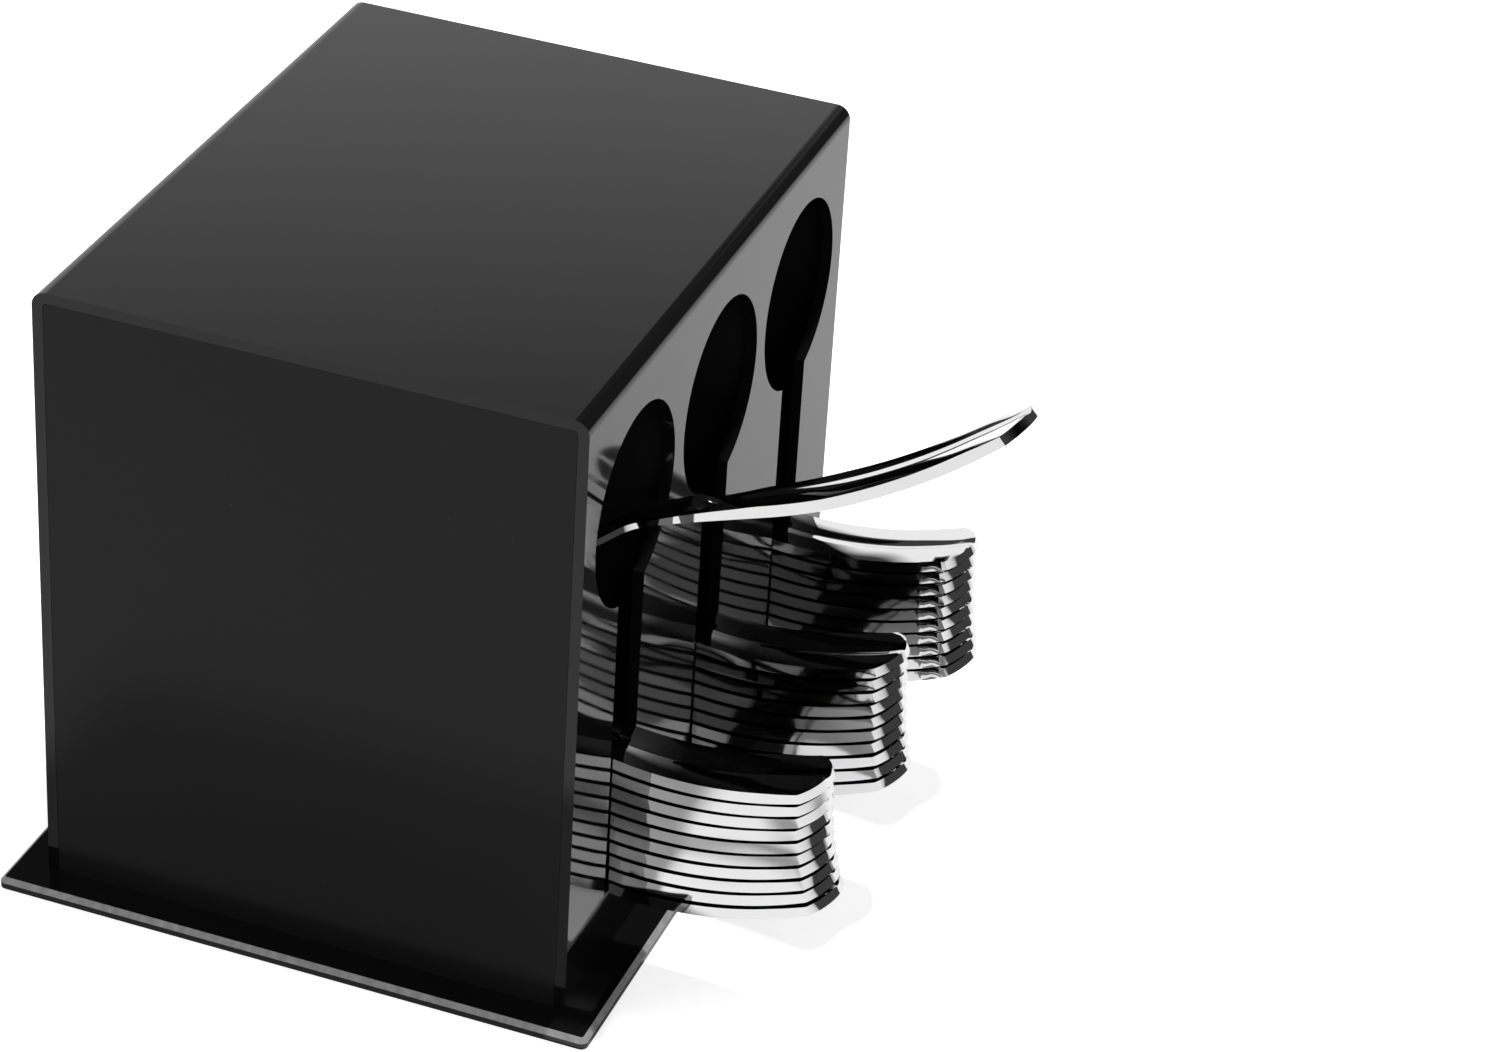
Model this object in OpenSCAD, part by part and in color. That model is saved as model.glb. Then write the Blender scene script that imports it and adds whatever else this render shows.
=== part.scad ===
// Countertop cutlery dispenser: a black acrylic housing with three keyholes in its front.
// Each keyhole is a slot that a stack of handles sticks out of, under a round hole that is wide
// enough for a fork, knife or spoon to be drawn out, head and all.
// Millimetres. Origin: the middle of the base plate's underside. The front faces -Y, +Z is up.

/* [Housing] */
// Outer width of the housing
housing_w = 190; // [176:1:230]
// Outer depth of the housing, front to back
housing_d = 150; // [142:1:190]
// Height of the housing above the base plate
housing_h = 177; // [160:1:210]
// Thickness of the acrylic sheet of the housing
sheet_t = 3; // [2:0.5:5]
// Inner radius of the two bends at the top
bend_r = 1; // [0.5:0.5:6]
// Gap that the cement fills between two glued sheets
glue_gap = 0.1; // [0.05:0.05:0.3]

/* [Base plate] */
// How far the base plate reaches past the housing, all round
base_margin = 10; // [4:1:25]
// Thickness of the base plate
base_t = 3; // [2:0.5:6]
// Corner radius of the base plate, seen from above
base_corner_r = 2; // [1.5:0.5:8]
// Size of the bevel along the base plate's top edge
base_bevel = 1.3; // [0.5:0.1:1.4]

/* [Keyholes] */
// Diameter of the round hole that a piece is drawn out through
hole_d = 54; // [46:1:58]
// Sheet left between the round holes and the top of the housing
top_land = 14.5; // [8:0.5:25]
// Sheet left between an outer round hole and the side of the housing
side_land = 7.5; // [6.5:0.5:12]
// Height of the slot's sill above the base plate
sill_h = 19.8; // [12:0.2:24]
// Side play of a handle in its slot, on each side
slot_play = 0.7; // [0.5:0.1:1.5]

/* [Cutlery] */
// Number of pieces in each stack
stack_count = 10; // [3:1:10]
// Rise from one fork to the next, at the front sheet
fork_pitch = 4.45; // [4.45:0.05:5]
// Rise from one knife to the next, at the front sheet
knife_pitch = 4.45; // [4.3:0.05:5]
// Rise from one spoon to the next, at the front sheet
spoon_pitch = 4.3; // [4.25:0.05:5]
// How much more each fork tips up than the one below it, in degrees
fork_fan = 0.8; // [0.4:0.05:0.8]
// How much more each knife tips up than the one below it, in degrees
knife_fan = 0.55; // [0.4:0.05:0.8]
// How much more each spoon tips up than the one below it, in degrees
spoon_fan = 0.5; // [0.4:0.05:0.6]
// How far the lowest pieces of a stack have slid out past the top one
slide_out = 6; // [2:0.5:7]
// Air left between a piece and the one that lies on its neck rib
seat_gap = 0.4; // [0.3:0.05:0.8]

/* [Handles] */
// Thickness of a handle
handle_t = 3; // [2.4:0.1:3]
// Width of a handle at its round end
handle_end_w = 19.6; // [18:0.2:21]
// Width of a handle where it passes through the front sheet
handle_slot_w = 16.6; // [14:0.2:17]
// Radius of the handle's round end, seen from above
handle_end_r = 12; // [11:0.5:20]
// Length of a handle from its end to the front sheet
handle_out = 56; // [50:1:60]
// Radius that a handle is bent to
handle_bend_r = 108; // [106:1:130]
// Depth of the flute along the top of a handle
flute_depth = 0.4; // [0.2:0.1:0.6]
// Width of that flute
flute_w = 5; // [3:0.5:6]
// Width of the neck between handle and head
neck_w = 8; // [6:0.5:9]
// Distance from the front sheet to the end of the neck
neck_y = 50; // [44:1:54]
// Width of the rib that stiffens the neck
rib_w = 3.6; // [2.5:0.1:5]

/* [Heads] */
// Length of a piece inside the housing, along the floor
inner_len = 126; // [120:1:130]
// Thickness of a head
head_t = 1.8; // [1.4:0.1:2.2]
// Width of a fork's head
fork_w = 26; // [24:1:28]
// Width of the gaps between a fork's tines
tine_gap = 2.6; // [2:0.2:3.2]
// Length of a fork's tines
tine_l = 38; // [30:1:42]
// Width of a spoon's bowl
spoon_w = 40; // [34:1:42]
// Length of a spoon's bowl up to its widest place
spoon_back_l = 36; // [30:1:38]
// Radius of a spoon's bowl, across
spoon_cross_r = 44; // [42:1:60]
// Width of a knife's blade
blade_w = 17; // [14:1:19]
// Radius of the bend between a knife's neck and its blade
blade_bend_r = 60; // [40:1:70]

/* [Lifted fork] */
// How far the lifted fork is tipped up, in degrees
lift_tip = 27.4; // [26.8:0.1:27.5]
// How far it is rolled about its own length, in degrees
lift_roll = -3.6; // [-6:0.2:0]
// Place along it, from its own front-sheet mark, that now passes through the front sheet
lift_at = 56.8; // [56.6:0.2:60]
// Height of its underside there, below the middle of the round hole
lift_drop = 5.5; // [3:0.1:5.6]
// Radius that the pull straightens its handle to
lift_bend_r = 194; // [192:2:240]

/* [Hidden] */
$fn = 96;

// housing
front_y = -housing_d / 2;
base_top = base_t;
housing_top = base_top + housing_h;
wrap_r = bend_r + sheet_t;
panel_gap = sheet_t + glue_gap;
hole_r = hole_d / 2;
hole_z = housing_top - top_land - hole_r;
column_pitch = housing_w / 2 - side_land - hole_r;
columns = [-column_pitch, 0, column_pitch];
slot_w = handle_slot_w + 2 * slot_play;
sill_z = base_top + sill_h;
cut_through = 1;

// The side view of a piece of cutlery, lying face down. y counts inwards from the front sheet's
// outer face and z counts up from the lowest point of the handle's underside. The handle is an
// arc that sags to its lowest point at low_y, runs on straight at the slope rise_a up to the
// neck's end, and then the head bends down until it comes to the base plate.
low_y = -2;
rise_a = 6;
floor_gap = 0.3;
tongue = 0.6;

function rise_y(r) = low_y + r * sin(rise_a);
function rise_z(r) = r * (1 - cos(rise_a));
function neck_z(r) = rise_z(r) + (neck_y - rise_y(r)) * tan(rise_a);
function neck_run(r) = (neck_y - rise_y(r)) / cos(rise_a);

// a handle keeps its length when it is bent to another radius
rest_end_a = asin((handle_out + low_y) / handle_bend_r);
handle_l = handle_bend_r * (rise_a + rest_end_a) * PI / 180 + neck_run(handle_bend_r);
function end_a(r) = (handle_l - neck_run(r)) * 180 / (PI * r) - rise_a;
function end_y(r) = low_y - r * sin(end_a(r));

// head of a fork or spoon: one arc from the neck to the floor
head_start_z = neck_z(handle_bend_r);
head_run = inner_len - neck_y;
head_fall = head_start_z + sill_h - floor_gap;
head_chord = sqrt(head_run * head_run + head_fall * head_fall);
head_turn = 2 * (rise_a + atan(head_fall / head_run));
head_bend_r = head_chord / (2 * sin(head_turn / 2));
head_end_y = inner_len + head_t * sin(head_turn - rise_a);

// centre of a bend that follows on from the neck
function bend_y(r) = neck_y + r * sin(rise_a);
function bend_z(r) = head_start_z - r * cos(rise_a);

// knife: a short bend, then a straight blade that touches the bend and ends at the floor
blade_dy = inner_len - bend_y(blade_bend_r);
blade_dz = -sill_h + floor_gap - bend_z(blade_bend_r);
blade_reach = sqrt(blade_dy * blade_dy + blade_dz * blade_dz);
blade_a = atan2(blade_dy, blade_dz) - acos(blade_bend_r / blade_reach);
blade_l = sqrt(blade_reach * blade_reach - blade_bend_r * blade_bend_r);
blade_end_y = inner_len + head_t * sin(blade_a);

// flute along the top of a handle
flute_end = 26;

// rib on the neck, which the next piece lies on
rib_start = 30;
rib_climb = 8;
rib_end_a = 10;
rib_steps = 4;

// plan of the heads
shoulder_y = 6;
neck_fillet = 8;
fillet_bite = 0.1;
fork_flare_y = neck_y + 20;
spoon_wide_y = head_end_y - 29;
spoon_side_r = (spoon_back_l * spoon_back_l + spoon_w * spoon_w / 4) / spoon_w;
spoon_side_x = spoon_side_r - spoon_w / 2;
spoon_tip_l = head_end_y - spoon_wide_y;
spoon_tip_r = (spoon_side_r * spoon_side_r - spoon_side_x * spoon_side_x
    - spoon_tip_l * spoon_tip_l) / (2 * (spoon_side_r - spoon_tip_l));
spoon_tip_y = head_end_y - spoon_tip_r;
spoon_meet = spoon_side_r / (spoon_side_r - spoon_tip_r);

// what stands in each compartment
kinds = ["fork", "knife", "spoon"];
pitches = [fork_pitch, knife_pitch, spoon_pitch];
fans = [fork_fan, knife_fan, spoon_fan];
slide_shares = [1, 0.7, 0.6];
unevenness = 0.15;
stacks = ["left_fork_", "middle_knife_", "right_spoon_"];
layers = [1 : stack_count];

// ---------- housing ----------

module plate_profile(half) {
    polygon([
        [-half, 0], [half, 0], [half, base_t - base_bevel], [half - base_bevel, base_t],
        [-half + base_bevel, base_t], [-half, base_t - base_bevel]]);
}

module plate_corner() {
    rotate_extrude()
        polygon([
            [0, 0], [base_corner_r, 0], [base_corner_r, base_t - base_bevel],
            [base_corner_r - base_bevel, base_t], [0, base_t]]);
}

module base_plate() {
    half_w = housing_w / 2 + base_margin;
    half_d = housing_d / 2 + base_margin;
    color([0.02, 0.02, 0.022]) {
        rotate([90, 0, 0])
            linear_extrude(2 * (half_d - base_corner_r), center = true)
                plate_profile(half_w);
        rotate([90, 0, 90])
            linear_extrude(2 * (half_w - base_corner_r), center = true)
                plate_profile(half_d);
        for (x = [-1, 1], y = [-1, 1])
            translate([x * (half_w - base_corner_r), y * (half_d - base_corner_r), 0])
                plate_corner();
    }
}

// a sheet standing on its edge, with its two upper corners rounded: depth by height
module arch(depth, height, corner_r) {
    square([depth, height - corner_r]);
    translate([corner_r, 0])
        square([depth - 2 * corner_r, height]);
    for (y = [corner_r, depth - corner_r])
        translate([y, height - corner_r])
            circle(corner_r);
}

module upright(width) {
    rotate([90, 0, 90])
        linear_extrude(width)
            children();
}

module keyhole_cut(x) {
    translate([x, front_y - cut_through, hole_z])
        rotate([-90, 0, 0])
            cylinder(d = hole_d, h = sheet_t + 2 * cut_through);
    translate([x - slot_w / 2, front_y - cut_through, sill_z])
        cube([slot_w, sheet_t + 2 * cut_through, hole_z - sill_z]);
}

module housing_wrap() {
    color([0.02, 0.02, 0.022])
        difference() {
            translate([-housing_w / 2, front_y, base_top])
                upright(housing_w)
                    difference() {
                        arch(housing_d, housing_h, wrap_r);
                        translate([sheet_t, -cut_through])
                            arch(housing_d - 2 * sheet_t, housing_h - sheet_t + cut_through, bend_r);
                    }
            for (x = columns)
                keyhole_cut(x);
        }
}

// a panel or divider fills the arch inside the wrap, less the cement all round
module inner_sheet(x) {
    color([0.02, 0.02, 0.022])
        translate([x, front_y + panel_gap, base_top])
            upright(sheet_t)
                arch(housing_d - 2 * panel_gap, housing_h - panel_gap, bend_r);
}

module left_side_panel() {
    inner_sheet(-housing_w / 2);
}

module right_side_panel() {
    inner_sheet(housing_w / 2 - sheet_t);
}

module left_divider() {
    inner_sheet(-column_pitch / 2 - sheet_t / 2);
}

module right_divider() {
    inner_sheet(column_pitch / 2 - sheet_t / 2);
}

// ---------- cutlery ----------

// Side views are drawn with y to the right and z up, and then stood up across the piece.
module across(width) {
    rotate([90, 0, 90])
        linear_extrude(width, center = true)
            children();
}

// A bent strip between two radii. Its angles are counted from straight up, or from straight
// down where up is -1, and grow towards +y.
module strip(inner_r, outer_r, from_a, to_a, up) {
    reach = 2 * outer_r;
    intersection() {
        difference() {
            circle(outer_r);
            circle(inner_r);
        }
        polygon([
            [0, 0], for (a = [from_a, (from_a + to_a) / 2, to_a]) reach * [sin(a), up * cos(a)]]);
    }
}

// side view of the handle and the straight neck, which thins towards the head
module handle_side(r) {
    run = neck_run(r);
    translate([low_y, r])
        strip(r - handle_t, r, -end_a(r) - 2, rise_a, -1);
    translate([rise_y(r), rise_z(r)])
        rotate(rise_a)
            polygon([
                [0, 0], [run, 0], [run + tongue, head_t / 3],
                [run + tongue, head_t * 2 / 3], [run, head_t],
                [rib_start - rise_y(r), handle_t], [0, handle_t],
                [-tongue, handle_t * 2 / 3], [-tongue, handle_t / 3]]);
}

// side view of the flute in the handle's top
module flute_side(r) {
    bottom = handle_t - flute_depth;
    translate([low_y, r])
        strip(r - 2 * handle_t, r - bottom, -end_a(r) - 3, rise_a, -1);
    translate([rise_y(r), rise_z(r)])
        rotate(rise_a)
            translate([-tongue, bottom])
                square([flute_end - rise_y(r) + tongue, handle_t]);
}

module head_side(kind) {
    r = kind == "knife" ? blade_bend_r : head_bend_r;
    translate([bend_y(r), bend_z(r)])
        strip(r, r + head_t, -rise_a, kind == "knife" ? blade_a : head_turn - rise_a, 1);
    if (kind == "knife")
        translate([bend_y(r), bend_z(r)])
            rotate(-blade_a)
                translate([0, r])
                    polygon([
                        [0, 0], [blade_l, 0], [blade_l, head_t], [0, head_t],
                        [-tongue, head_t * 2 / 3], [-tongue, head_t / 3]]);
}

// a spoon's bowl curves across as well as along
module bowl() {
    translate([0, bend_y(head_bend_r), bend_z(head_bend_r)])
        rotate([0, -90, 0])
            rotate([0, 0, -rise_a])
                rotate_extrude(angle = head_turn)
                    intersection() {
                        translate([head_bend_r + head_t - spoon_cross_r, 0])
                            difference() {
                                circle(spoon_cross_r);
                                circle(spoon_cross_r - head_t);
                            }
                        translate([head_bend_r + head_t - spoon_cross_r / 2, -spoon_w])
                            square([spoon_cross_r, 2 * spoon_w]);
                    }
}

module handle_plan(r) {
    tip_y = end_y(r);
    intersection() {
        polygon([
            [-handle_end_w / 2, tip_y - 1], [handle_end_w / 2, tip_y - 1],
            [handle_end_w / 2, tip_y + shoulder_y], [handle_slot_w / 2, 0],
            [neck_w / 2, neck_y - neck_fillet], [neck_w / 2, fork_flare_y],
            [-neck_w / 2, fork_flare_y], [-neck_w / 2, neck_y - neck_fillet],
            [-handle_slot_w / 2, 0], [-handle_end_w / 2, tip_y + shoulder_y]]);
        union() {
            translate([0, tip_y + handle_end_r])
                circle(handle_end_r);
            translate([-handle_end_w, tip_y + handle_end_r])
                square([2 * handle_end_w, fork_flare_y - tip_y]);
        }
    }
}

// fills the corner between the neck's side and a round head whose side has its centre at [x, y]
module flare(x, y, r) {
    fillet_x = neck_w / 2 + neck_fillet;
    fillet_y = y - sqrt(pow(r + neck_fillet - fillet_bite, 2) - pow(fillet_x - x, 2));
    for (side = [0, 1])
        mirror([side, 0])
            difference() {
                polygon([
                    [0, fillet_y], [fillet_x, fillet_y],
                    [0, fillet_y + (y - fillet_y) * fillet_x / (fillet_x - x)]]);
                translate([fillet_x, fillet_y])
                    circle(neck_fillet);
            }
}

module fork_plan() {
    tine_w = (fork_w - 3 * tine_gap) / 4;
    slot_root = head_end_y - tine_l;
    difference() {
        intersection() {
            union() {
                translate([0, fork_flare_y])
                    circle(fork_w / 2);
                translate([-fork_w / 2, fork_flare_y])
                    square([fork_w, head_end_y - fork_flare_y]);
                flare(0, fork_flare_y, fork_w / 2);
            }
            translate([0, head_end_y - 1.5 * fork_w])
                circle(1.5 * fork_w);
        }
        for (i = [-1 : 1])
            translate([i * (tine_w + tine_gap), slot_root]) {
                circle(d = tine_gap);
                polygon([
                    [-tine_gap / 2, 0], [tine_gap / 2, 0],
                    [tine_gap, tine_l + cut_through], [-tine_gap, tine_l + cut_through]]);
            }
    }
}

module spoon_plan() {
    translate([0, spoon_tip_y])
        circle(spoon_tip_r);
    intersection() {
        intersection_for (side = [-1, 1])
            translate([side * spoon_side_x, spoon_wide_y])
                circle(spoon_side_r);
        translate([-spoon_w, spoon_wide_y - spoon_back_l])
            square([
                2 * spoon_w,
                spoon_back_l + (spoon_tip_y - spoon_wide_y) * spoon_meet]);
    }
    flare(-spoon_side_x, spoon_wide_y, spoon_side_r);
}

module knife_plan() {
    blade_y = neck_y + neck_fillet;
    polygon([
        [-neck_w / 2, neck_y], [neck_w / 2, neck_y], [blade_w / 2, blade_y],
        [blade_w / 2, blade_end_y - blade_w], [-blade_w / 2, blade_end_y - blade_w],
        [-blade_w / 2, blade_y + neck_fillet]]);
    intersection() {
        translate([-blade_w / 2, blade_end_y - blade_w])
            circle(blade_w);
        translate([-blade_w / 2, blade_end_y - blade_w])
            square(blade_w);
    }
}

// height of the underside's straight stretch, and of the rib's crest for the next piece above
function under_z(y) = head_start_z - (neck_y - y) * tan(rise_a);
function crest_z(y, c) = under_z(y) + pitches[c] + y * sin(fans[c]) - seat_gap;

module neck_rib(c) {
    r = kinds[c] == "knife" ? blade_bend_r : head_bend_r;
    inner_r = r + head_t / 2;
    outer_r = r + head_t;
    inside = [for (k = [rib_steps : -1 : 0]) -rise_a + k * (rise_a + rib_end_a) / rib_steps];
    across(rib_w)
        polygon(concat(
            [[rib_start, under_z(rib_start) + handle_t / 2],
             [rib_start, under_z(rib_start) + handle_t],
             [rib_start + rib_climb, crest_z(rib_start + rib_climb, c)],
             [neck_y, crest_z(neck_y, c)],
             [bend_y(r) + outer_r * sin(rib_end_a), bend_z(r) + outer_r * cos(rib_end_a)]],
            [for (a = inside) [bend_y(r) + inner_r * sin(a), bend_z(r) + inner_r * cos(a)]]));
}

// c says which compartment the piece belongs to, and r is the radius that its handle has now
module piece(c, r) {
    plan_h = 4 * head_run;
    side_w = 2 * max(handle_end_w, fork_w, blade_w);
    settle = neck_z(r) - head_start_z;
    intersection() {
        translate([0, 0, -plan_h / 2])
            linear_extrude(plan_h) {
                handle_plan(r);
                if (kinds[c] == "fork") fork_plan();
                if (kinds[c] == "knife") knife_plan();
                if (kinds[c] == "spoon") spoon_plan();
            }
        union() {
            difference() {
                across(side_w)
                    handle_side(r);
                across(flute_w)
                    flute_side(r);
            }
            translate([0, 0, settle])
                if (kinds[c] == "spoon")
                    bowl();
                else
                    across(side_w)
                        head_side(kinds[c]);
        }
    }
    translate([0, 0, settle])
        neck_rib(c);
}

function drop_share(i) = pow((stack_count - i) / (stack_count - 1), 2);
function wobble(c, i) = i == stack_count ? 0 : unevenness * sin(137 * i + 71 * c);
function out_of(c, i) = slide_out * slide_shares[c] * drop_share(i) + wobble(c, i);

module stacked(c, i) {
    color([0.85, 0.86, 0.88])
        translate([columns[c], front_y - out_of(c, i), sill_z + (i - 1) * pitches[c]])
            rotate([(i - 1) * fans[c], 0, 0])
                piece(c, handle_bend_r);
}

module left_fork_lifted() {
    at_z = neck_z(lift_bend_r) - (neck_y - lift_at) * tan(rise_a);
    color([0.85, 0.86, 0.88])
        translate([columns[0], front_y, hole_z - lift_drop])
            rotate([-lift_tip, 0, 0])
                rotate([0, -lift_roll, 0])
                    translate([0, -lift_at, -at_z])
                        piece(0, lift_bend_r);
}

base_plate();
housing_wrap();
left_side_panel();
right_side_panel();
left_divider();
right_divider();
left_fork_lifted();
for (c = [0 : 2], i = layers)
    stacked(c, i);
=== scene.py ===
# %% [markdown]
# A countertop cutlery dispenser: a black acrylic box with three keyholes, and three stacks of
# mirror-bright forks, knives and spoons whose handles stick out of the slots. The measured model
# comes in first, as a frame that nothing here moves. This file then gives it finishes, makes the
# cutlery again with rounded edges, and sets up floor, light and camera.

# %% Load the frame
import math

import bmesh
import bpy
from mathutils import Matrix, Vector


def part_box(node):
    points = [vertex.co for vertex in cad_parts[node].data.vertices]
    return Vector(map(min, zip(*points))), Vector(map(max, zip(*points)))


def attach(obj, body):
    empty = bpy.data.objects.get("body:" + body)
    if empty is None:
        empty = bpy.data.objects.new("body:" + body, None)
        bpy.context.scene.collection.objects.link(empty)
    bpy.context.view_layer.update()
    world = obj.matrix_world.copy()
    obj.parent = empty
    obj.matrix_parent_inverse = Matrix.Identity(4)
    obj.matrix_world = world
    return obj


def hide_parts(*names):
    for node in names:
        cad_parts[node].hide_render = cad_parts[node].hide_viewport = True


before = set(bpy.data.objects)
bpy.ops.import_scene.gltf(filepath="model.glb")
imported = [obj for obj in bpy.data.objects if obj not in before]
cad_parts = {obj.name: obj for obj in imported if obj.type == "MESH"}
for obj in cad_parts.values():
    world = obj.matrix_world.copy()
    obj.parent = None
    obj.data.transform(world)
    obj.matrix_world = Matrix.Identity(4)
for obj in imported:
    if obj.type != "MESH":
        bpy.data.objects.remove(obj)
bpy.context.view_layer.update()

print("nodes in the frame:", len(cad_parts))

# %% [markdown]
# The drawing's sizes are in millimetres and Blender works in metres, so one factor turns a length
# from one into the other. The housing's sizes are read from the frame's own boxes, so that what
# is made here follows them.

# %% Sizes read from the frame
MM = 0.001
wrap_low, wrap_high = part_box("housing_wrap")
base_low, base_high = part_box("base_plate")
front_y = wrap_low.y
base_top = base_high.z
print("housing", [round(1000 * v, 1) for v in wrap_high - wrap_low])

# %% [markdown]
# The photograph's camera was worked out from the box's edges: how far round it stands, how high,
# and a slight tilt. A camera looks along its own -Z, so its rotation is built from three
# directions: right, up and back. That is exact, where a constraint that tracks a target would
# need the tilt to be added by eye.

# %% Camera
CAMERA_PLACE = Vector((-956.3, -402.1, 720.7)) * MM
CAMERA_AZIMUTH = math.radians(-71.677)
CAMERA_HEIGHT = math.radians(31.6017)
CAMERA_TILT = math.radians(3.8342)
CAMERA_LENS = 106.99
SENSOR_WIDTH = 36.0


def camera_rotation(azimuth, height, tilt):
    back = Vector((
        math.sin(azimuth) * math.cos(height),
        -math.cos(azimuth) * math.cos(height),
        math.sin(height)))
    level_right = (-back).cross(Vector((0, 0, 1))).normalized()
    level_up = level_right.cross(-back)
    right = math.cos(tilt) * level_right + math.sin(tilt) * level_up
    up = -math.sin(tilt) * level_right + math.cos(tilt) * level_up
    return Matrix((right, up, back)).transposed().to_4x4()


camera_data = bpy.data.cameras.new("camera")
camera_data.lens = CAMERA_LENS
camera_data.sensor_width = SENSOR_WIDTH
camera_data.sensor_fit = "HORIZONTAL"
camera_data.clip_start = 0.01
camera_data.clip_end = 50
camera = bpy.data.objects.new("camera", camera_data)
bpy.context.scene.collection.objects.link(camera)
camera.matrix_world = (
    Matrix.Translation(CAMERA_PLACE)
    @ camera_rotation(CAMERA_AZIMUTH, CAMERA_HEIGHT, CAMERA_TILT))
bpy.context.scene.camera = camera
print("camera distance", round(CAMERA_PLACE.length, 3), "m")

# %% [markdown]
# Five helpers build materials. A material is a small graph of nodes, and these save writing the
# same few lines for every node: one adds a node and sets its values, one joins two sockets, and
# one starts a material with an empty graph and a Principled shader. The last two stand for the
# nodes used most: a ramp, which turns one range of values into another, and a noise texture.

# %% Material helpers


def add_node(tree, kind, **values):
    node = tree.nodes.new(kind)
    for name, value in values.items():
        if hasattr(node, name):
            setattr(node, name, value)
        else:
            node.inputs[name.replace("_", " ")].default_value = value
    return node


def join(tree, from_socket, to_socket):
    tree.links.new(from_socket, to_socket)


def new_material(name):
    material = bpy.data.materials.new(name)
    material.use_nodes = True
    tree = material.node_tree
    tree.nodes.clear()
    shader = tree.nodes.new("ShaderNodeBsdfPrincipled")
    output = tree.nodes.new("ShaderNodeOutputMaterial")
    join(tree, shader.outputs["BSDF"], output.inputs["Surface"])
    return material, tree, shader


def ramp(tree, source, low, high, low_value, high_value):
    node = add_node(tree, "ShaderNodeMapRange")
    node.inputs["From Min"].default_value = low
    node.inputs["From Max"].default_value = high
    node.inputs["To Min"].default_value = low_value
    node.inputs["To Max"].default_value = high_value
    join(tree, source, node.inputs["Value"])
    return node.outputs["Result"]


def noise(tree, coordinates, scale, detail=2.0, stretch=(1, 1, 1)):
    mapping = add_node(tree, "ShaderNodeMapping")
    mapping.inputs["Scale"].default_value = stretch
    join(tree, coordinates, mapping.inputs["Vector"])
    node = add_node(tree, "ShaderNodeTexNoise")
    node.inputs["Scale"].default_value = scale
    node.inputs["Detail"].default_value = detail
    join(tree, mapping.outputs["Vector"], node.inputs["Vector"])
    return node.outputs["Fac"]


print("material helpers ready")

# %% [markdown]
# The housing is cut from black acrylic sheet, polished on both faces. Up close such a sheet has
# fine dust, hairline scratches from wiping, and a very slight waviness in its reflections. A
# plain black gloss would look like a hole in the picture, so each of these is a noise texture:
# dust lifts the colour in small dots, wiping streaks vary the roughness, and a long soft wave
# bends the reflections. The side sheets are a little satin: more blur and less mirror. Their
# black is painted lighter than the top's. That is a painted reflection, in place of the light
# that their weaker mirror leaves out.

# %% Black acrylic
ACRYLIC_IOR = 1.49
BLACK_GREEN = 0.93
BLACK_BLUE = 1.02
DUST_GREY = 0.03
DUST_SCALE = 260.0
DUST_SIZE = (0.05, 0.09)
DUSTY_FROM_TO = (0.55, 0.75)
DUST_PATCH_SCALE = 30.0
WIPE_SCALE = 55.0
WIPE_FROM_TO = (0.3, 0.75)
WIPE_BLUR = 0.05
WAVE_SCALE = 14.0
WAVE_STRENGTH = 0.05
WAVE_DEPTH = 0.0006
WIPED_ACROSS = (1, 9, 1)
WIPED_LEVEL = (1, 1, 9)
POLISHED_BLUR = 0.035
POLISHED_BLACK = 0.0055


def polished_acrylic(name, wipe_stretch, blur, mirror, black):
    material, tree, shader = new_material(name)
    place = add_node(tree, "ShaderNodeTexCoord").outputs["Object"]

    specks = add_node(tree, "ShaderNodeTexVoronoi")
    specks.inputs["Scale"].default_value = DUST_SCALE
    join(tree, place, specks.inputs["Vector"])
    dust = ramp(tree, specks.outputs["Distance"], *DUST_SIZE, low_value=1.0, high_value=0.0)
    dusty = noise(tree, place, DUST_PATCH_SCALE)
    patches = ramp(tree, dusty, *DUSTY_FROM_TO, low_value=0.0, high_value=1.0)
    dust_mask = add_node(tree, "ShaderNodeMath", operation="MULTIPLY")
    join(tree, dust, dust_mask.inputs[0])
    join(tree, patches, dust_mask.inputs[1])

    colour = add_node(tree, "ShaderNodeMix", data_type="RGBA")
    colour.inputs["A"].default_value = (black, BLACK_GREEN * black, BLACK_BLUE * black, 1)
    colour.inputs["B"].default_value = (DUST_GREY, DUST_GREY, DUST_GREY, 1)
    join(tree, dust_mask.outputs["Value"], colour.inputs["Factor"])
    join(tree, colour.outputs["Result"], shader.inputs["Base Color"])

    streaks = noise(tree, place, WIPE_SCALE, detail=4.0, stretch=wipe_stretch)
    wiping = ramp(tree, streaks, *WIPE_FROM_TO, low_value=blur, high_value=blur + WIPE_BLUR)
    join(tree, wiping, shader.inputs["Roughness"])
    shader.inputs["IOR"].default_value = ACRYLIC_IOR
    shader.inputs["Specular IOR Level"].default_value = mirror

    bump = add_node(tree, "ShaderNodeBump")
    bump.inputs["Strength"].default_value = WAVE_STRENGTH
    bump.inputs["Distance"].default_value = WAVE_DEPTH
    join(tree, noise(tree, place, WAVE_SCALE, detail=1.0), bump.inputs["Height"])
    join(tree, bump.outputs["Normal"], shader.inputs["Normal"])
    return material


top_and_front = polished_acrylic(
    "polished_acrylic_wrap", WIPED_ACROSS, blur=POLISHED_BLUR, mirror=0.38, black=POLISHED_BLACK)
# The side sheets' black of 0.0125 is painted lighter than the top's 0.0055: a painted reflection, for
# the light their weaker mirror leaves out.
side_sheets = polished_acrylic(
    "polished_acrylic_side", WIPED_LEVEL, blur=0.2, mirror=0.15, black=0.0125)
print("acrylic materials:", top_and_front.name, side_sheets.name)

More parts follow.
